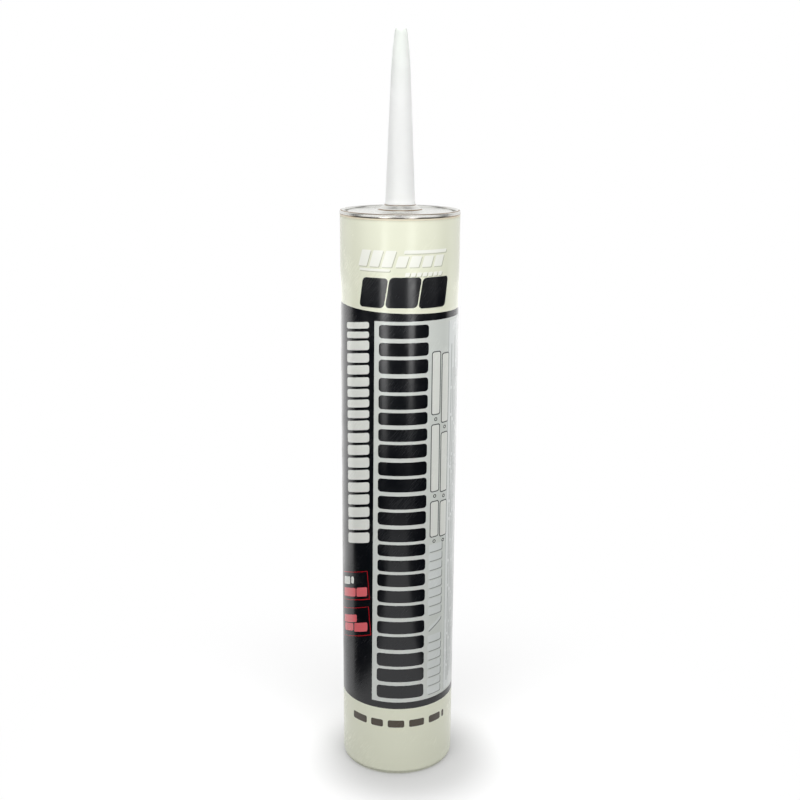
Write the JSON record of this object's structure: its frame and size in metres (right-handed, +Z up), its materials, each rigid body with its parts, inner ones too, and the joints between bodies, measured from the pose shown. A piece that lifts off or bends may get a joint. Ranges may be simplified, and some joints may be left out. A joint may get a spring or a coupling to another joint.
{
  "type": "sealant cartridge",
  "caption": "Large fibreboard sealant cartridge with a printed paper label, a rolled tinplate end, a long tapered nozzle with its tip closed, and a sliding plunger behind the fill.",
  "frame": {"origin": "centre of the open bottom edge, on the face that the cartridge stands on", "axes": "+Z up the tube's axis to the nozzle's tip; the label's front faces -Y and its lap is at +Y"},
  "size_m": [0.0662, 0.0662, 0.4248],
  "materials": {
    "fibreboard": "matt wound board",
    "label_paper": "varnished print",
    "tinplate": "bright pressed",
    "nozzle_plastic": "moulded, translucent",
    "foil": "bright foil",
    "sealant_paste": "smooth paste",
    "plunger_plastic": "moulded"
  },
  "bodies": {
    "cartridge": {"fibre_tube": "fibreboard", "label_wrap": "label_paper", "metal_end": "tinplate", "nozzle": "nozzle_plastic", "nozzle_seal": "foil", "sealant": "sealant_paste"},
    "plunger": {"plunger": "plunger_plastic"}
  },
  "joints": [
    {"name": "plunger_slide", "type": "slide", "parent": "cartridge", "child": "plunger", "axis": [0, 0, 1], "range_m": [0, 0.274], "deforming": ["sealant"]}
  ]
}
